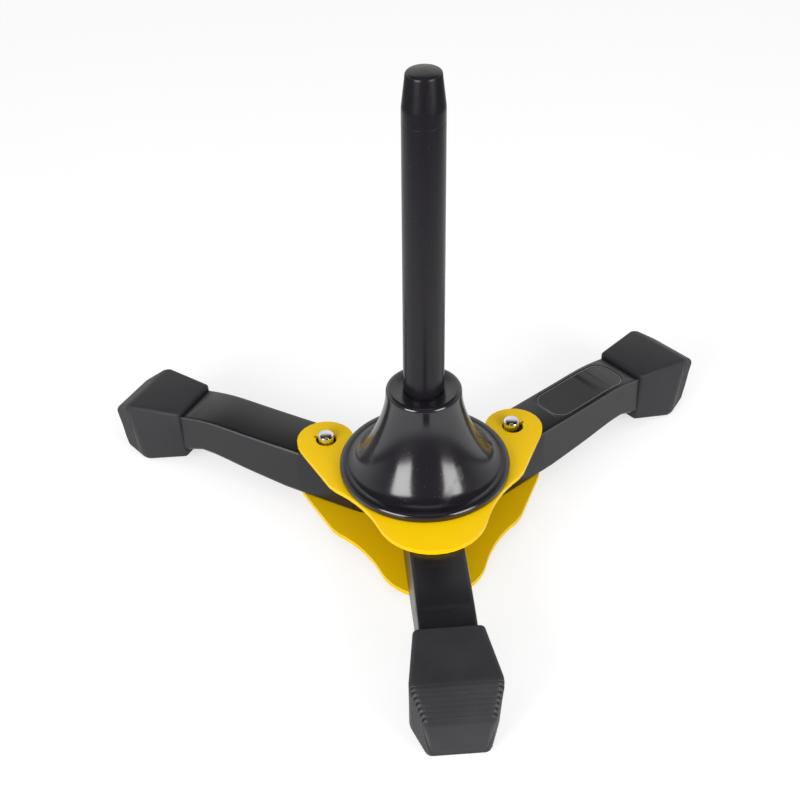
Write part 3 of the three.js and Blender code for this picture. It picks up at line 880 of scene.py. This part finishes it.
# Pressed and moulded pieces that keep their solid's shape, with edges broken by a width in so many steps
softened = {
    "lower_plate": (0.35, 3),
    "upper_plate": (0.35, 3),
    "front_leg": (0.16, 2),
    "left_leg": (0.16, 2),
    "right_leg": (0.16, 2),
    "left_lock_plug": (0.25, 2),
    "right_lock_plug": (0.25, 2),
    "hub_bolt": (0.3, 2),
    "hub_washer": (0.12, 1),
    "hub_nut": (0.2, 1),
}
for node, (width, segments) in softened.items():
    leg = node.endswith("_leg")
    finishPiece(softCopy(node, width * mm, segments), node, sharpAngle=20 if leg else 50, weighted=not leg)
for node in ("spike_insert", "left_lock_spring", "right_lock_spring"):
    nodes[node].data.materials.clear()
    nodes[node].data.materials.append(finishes[slots[node]])
print("plates, legs and fasteners finished")


# Rubber boots, in millimetres from the leg's round end
boot = {
    "mouth": (87.2, 12.5, 31.5),
    "mouthUnder": (86.3, 12.1, 6.4),
    "shoulder": (112.3, 16.2, 30.5),
    "shoulderUnder": (106.8, 15.9, 0.0),
    "nose": (123.5, 12.0, 22.0),
    "toe": (121.2, 10.6, 0.0),
    "round": 1.9,
    "roundSegments": 4,
    "lip": 1.1,
    "lipSegments": 3,
    "mouthRim": 0.25,
    "mouthSink": 0.15,
    "legTop": (29.15, 11.2),
    "legUnder": (9.5, 11.1),
    "pocket": (25.0, -5.9),
    "ribs": 6,
    "ribsFrom": 112.7,
    "ribsTo": 121.5,
    "ribCut": ((-0.2, 0.0), (-0.11, 0.35), (-0.04, 1.0), (0.04, 1.0), (0.11, 0.35), (0.2, 0.0), (0.5, -0.12)),
    "ribEnd": 0.7,
    "ribDepth": (0.015, 0.8),  # on the slope, and on the two facets beside it
    "ribFloor": 1.4,
    # how fast the painted highlight on the crests fades with the cut's depth
    "ribHighlightFade": 1.5,
    "frontWiden": 1.055,
}


# A cut through the given faces only
def cutFaces(mesh, faces, point, normal):
    edges = {edge for face in faces for edge in face.edges}
    verts = {vert for face in faces for vert in face.verts}
    bmesh.ops.bisect_plane(
        mesh, geom=list(verts) + list(edges) + faces, dist=0.000001, plane_co=point, plane_no=normal,
    )


def makeBoot(side, values, widen=1.0):
    mesh = bmesh.new()
    bmesh.ops.create_cube(mesh, size=2.0)

    def setCorners(verts, high, low):
        for vert in verts:
            reach, half, height = high if vert.co.z > 0 else low
            vert.co = Vector((reach, half if vert.co.y > 0 else -half, height)) * mm

    back = [vert for vert in mesh.verts if vert.co.x < 0]
    front = [vert for vert in mesh.verts if vert.co.x > 0]
    frontFace = next(face for face in mesh.faces if all(vert in front for vert in face.verts))
    added = bmesh.ops.extrude_face_region(mesh, geom=[frontFace])["geom"]
    end = [item for item in added if isinstance(item, bmesh.types.BMVert)]
    bmesh.ops.delete(mesh, geom=[frontFace], context="FACES_ONLY")
    setCorners(end, values["nose"], values["toe"])
    setCorners(front, values["shoulder"], values["shoulderUnder"])
    setCorners(back, values["mouth"], values["mouthUnder"])
    bmesh.ops.recalc_face_normals(mesh, faces=mesh.faces)

    # The mouth keeps a thinner lip than the other edges
    def atMouth(item):
        return all(vert.co.x < (values["mouth"][0] + 0.5) * mm for vert in item.verts)

    outerEdges = [edge for edge in mesh.edges if not atMouth(edge)]
    bevelEdges(mesh, outerEdges, values["round"] * mm, values["roundSegments"])
    mouthFace = min(mesh.faces, key=lambda face: face.calc_center_median().x)
    bevelEdges(mesh, list(mouthFace.edges), values["lip"] * mm, values["lipSegments"])
    mouthFace = min(mesh.faces, key=lambda face: (face.normal.x > -0.9, face.calc_center_median().x))

    # The pocket takes the leg's section, then runs in with the leg
    bmesh.ops.inset_region(mesh, faces=[mouthFace], thickness=values["mouthRim"] * mm)
    heights = [vert.co.z for vert in mouthFace.verts]
    halves = [abs(vert.co.y) for vert in mouthFace.verts]
    low, high, half = min(heights), max(heights), max(halves)
    for vert in mouthFace.verts:
        share = (vert.co.z - low) / (high - low)
        legHalf = values["legUnder"][1] + (values["legTop"][1] - values["legUnder"][1]) * share
        vert.co.z = (values["legUnder"][0] + (values["legTop"][0] - values["legUnder"][0]) * share) * mm
        vert.co.y *= legHalf * mm / half
        vert.co.x += values["mouthSink"] * mm
    inner = bmesh.ops.extrude_face_region(mesh, geom=[mouthFace])["geom"]
    bmesh.ops.delete(mesh, geom=[mouthFace], context="FACES_ONLY")
    deep = [item for item in inner if isinstance(item, bmesh.types.BMVert)]
    bmesh.ops.translate(mesh, verts=deep, vec=(values["pocket"][0] * mm, 0, values["pocket"][1] * mm))

    # Two slanting cuts keep the ribs' deep ends off the middle of the slope
    (shoulderOut, shoulderHalf, _), (noseOut, noseHalf, _) = values["shoulder"], values["nose"]
    cutHalf = shoulderHalf - values["round"] - values["ribEnd"]
    for way in (-1, 1):
        slope = [
            face for face in mesh.faces
            if face.calc_center_median().x > (shoulderOut - 1) * mm and face.normal.z > 0.3
        ]
        point = (shoulderOut * mm, way * cutHalf * mm, 0)
        cutFaces(mesh, slope, point, (shoulderHalf - noseHalf, way * (noseOut - shoulderOut), 0))

    # Ribs: cuts at set reaches, drawn in between the crests over the slope and the two front facets
    pitch = (values["ribsTo"] - values["ribsFrom"]) / values["ribs"]
    depths = {}
    for rib in range(values["ribs"] + 1):
        for share, depth in values["ribCut"]:
            reach = values["ribsFrom"] + (rib + share) * pitch
            depths[round(reach, 4)] = depth
            outside = [
                face for face in mesh.faces
                if face.calc_center_median().x > 0.1 and face.normal.z > -0.9
            ]
            cutFaces(mesh, outside, (reach * mm, 0, 0), (1, 0, 0))
    mesh.normal_update()
    # Painted highlight: crest vertices near the side facets get a value that the rubber finish paints paler
    ribHighlight = mesh.verts.layers.float.new("ribHighlight")
    moves = []
    for vert in mesh.verts:
        reach = round(vert.co.x / mm, 4)
        depth = depths.get(reach)
        high = vert.co.z > values["ribFloor"] * mm
        sideways = min(1.0, abs(vert.normal.y) * 1.35)
        if depth is None or not high or vert.normal.z < -0.3 or abs(vert.normal.x) > 0.97:
            continue
        cut = values["ribDepth"][0] + (values["ribDepth"][1] - values["ribDepth"][0]) * sideways
        moves.append((vert, vert.normal * (-depth * cut * mm)))
        vert[ribHighlight] = max(0, 1 - depth * values["ribHighlightFade"]) * sideways * (1 - 0.6 * sideways ** 4)
    for vert, move in moves:
        vert.co += move
    bmesh.ops.scale(mesh, vec=(1, widen, 1), verts=mesh.verts)
    bmesh.ops.transform(mesh, matrix=legPlaces[side], verts=mesh.verts)
    bmesh.ops.recalc_face_normals(mesh, faces=mesh.faces)
    finishPiece(mesh, side + "_foot", sharpAngle=62)


for side in sides:
    makeBoot(side, boot, boot["frontWiden"] if side == "front" else 1.0)
print("boots ribbed")


# Floor, backdrop and light
studio = {
    "floorSize": 6.0,
    "floorColour": colour(0.44, 0.44, 0.44),
    "floorGlow": 0.64,
    "floorMiddle": (0.0, 0.14, 0.0),
    "floorDark": (0.3, 0.5),  # reflections lose the floor between these distances from that point
    "floorLost": (0.15, 0.9),  # the shares that they lose there
    "bandTop": (0.6, 0.74),  # the pale backdrop fades out between these heights of a direction
    "ceiling": 0.05,
    "darkSide": (-0.6, 0.9),  # behind the camera the room is dark
    "darkLevel": 0.1,
    "fill": 0.55,
    "aim": (0, 0, 0.04),
    "lights": {
        "overhead": {"at": (0.0, -0.1, 1.3), "size": (0.6, 0.6), "power": 0.5},
        "leftStrip": {"at": (-0.6, -0.6, 0.37), "size": (0.45, 0.53), "power": 6.5},
        "rightStrip": {"at": (0.57, -0.63, 0.37), "size": (0.4, 0.53), "power": 5.2},
    },
}


def makeFloor(values):
    finish = Finish(bpy.data.materials.new("paleFloor"))
    toCamera = finish.add("ShaderNodeLightPath", output="Is Camera Ray")
    glossy = finish.add("ShaderNodeLightPath", output="Is Glossy Ray")
    through = finish.add("ShaderNodeLightPath", output="Is Transmission Ray")
    paths = toCamera + glossy + through
    matte = finish.add("ShaderNodeBsdfDiffuse", values={"Color": values["floorColour"]})
    glowing = {"Color": colour(1, 1, 1), "Strength": paths * values["floorGlow"]}
    glow = finish.add("ShaderNodeEmission", values=glowing)
    both = finish.add("ShaderNodeAddShader", values={0: matte, 1: glow})
    place = finish.place(values["floorMiddle"])
    away = finish.add("ShaderNodeVectorMath", {"operation": "LENGTH"}, {0: place}, "Value")
    lost = glossy * finish.between(away, *values["floorDark"], *values["floorLost"])
    black = finish.add("ShaderNodeBsdfDiffuse", values={"Color": colour(0, 0, 0)})
    faded = finish.add("ShaderNodeMixShader", values={0: lost, 1: both, 2: black})
    finish.add("ShaderNodeOutputMaterial", values={"Surface": faded})
    mesh = bmesh.new()
    bmesh.ops.create_grid(mesh, x_segments=1, y_segments=1, size=values["floorSize"] / 2)
    data = bpy.data.meshes.new("floor")
    mesh.to_mesh(data)
    mesh.free()
    data.materials.append(finish.owner)
    floor = bpy.data.objects.new("floor", data)
    bpy.context.scene.collection.objects.link(floor)


def makeWorld(values):
    world = bpy.data.worlds.new("studio")
    bpy.context.scene.world = world
    finish = Finish(world)
    toCamera = finish.add("ShaderNodeLightPath", output="Is Camera Ray")
    glossy = finish.add("ShaderNodeLightPath", output="Is Glossy Ray")
    through = finish.add("ShaderNodeLightPath", output="Is Transmission Ray")
    direction = finish.add("ShaderNodeTexCoord", output="Generated")
    height = finish.add("ShaderNodeSeparateXYZ", values={"Vector": direction}, output="Z")
    ahead = finish.add("ShaderNodeSeparateXYZ", values={"Vector": direction}, output="Y")
    band = finish.between(height, values["bandTop"][0], values["bandTop"][1], 1.0, values["ceiling"])
    room = finish.between(ahead, values["darkSide"][0], values["darkSide"][1], values["darkLevel"], 1.0)
    reflected = finish.add("ShaderNodeMath", {"operation": "MAXIMUM"}, {0: glossy, 1: through})
    shown = toCamera + reflected * band * room
    strength = (1 - toCamera) * (1 - reflected) * values["fill"] + shown
    sky = finish.add("ShaderNodeBackground", values={"Color": colour(1, 1, 1), "Strength": strength})
    finish.add("ShaderNodeOutputWorld", values={"Surface": sky})


def makeLights(values):
    for name, light in values["lights"].items():
        data = bpy.data.lights.new(name, "AREA")
        data.shape = "RECTANGLE"
        data.size, data.size_y = light["size"]
        data.energy = light["power"]
        lamp = bpy.data.objects.new(name, data)
        lamp.location = light["at"]
        lamp.rotation_euler = (Vector(values["aim"]) - lamp.location).to_track_quat("-Z", "Y").to_euler()
        lamp.visible_camera = False
        bpy.context.scene.collection.objects.link(lamp)


makeFloor(studio)
makeWorld(studio)
makeLights(studio)
bpy.context.scene.view_settings.view_transform = "Standard"
print("studio set")
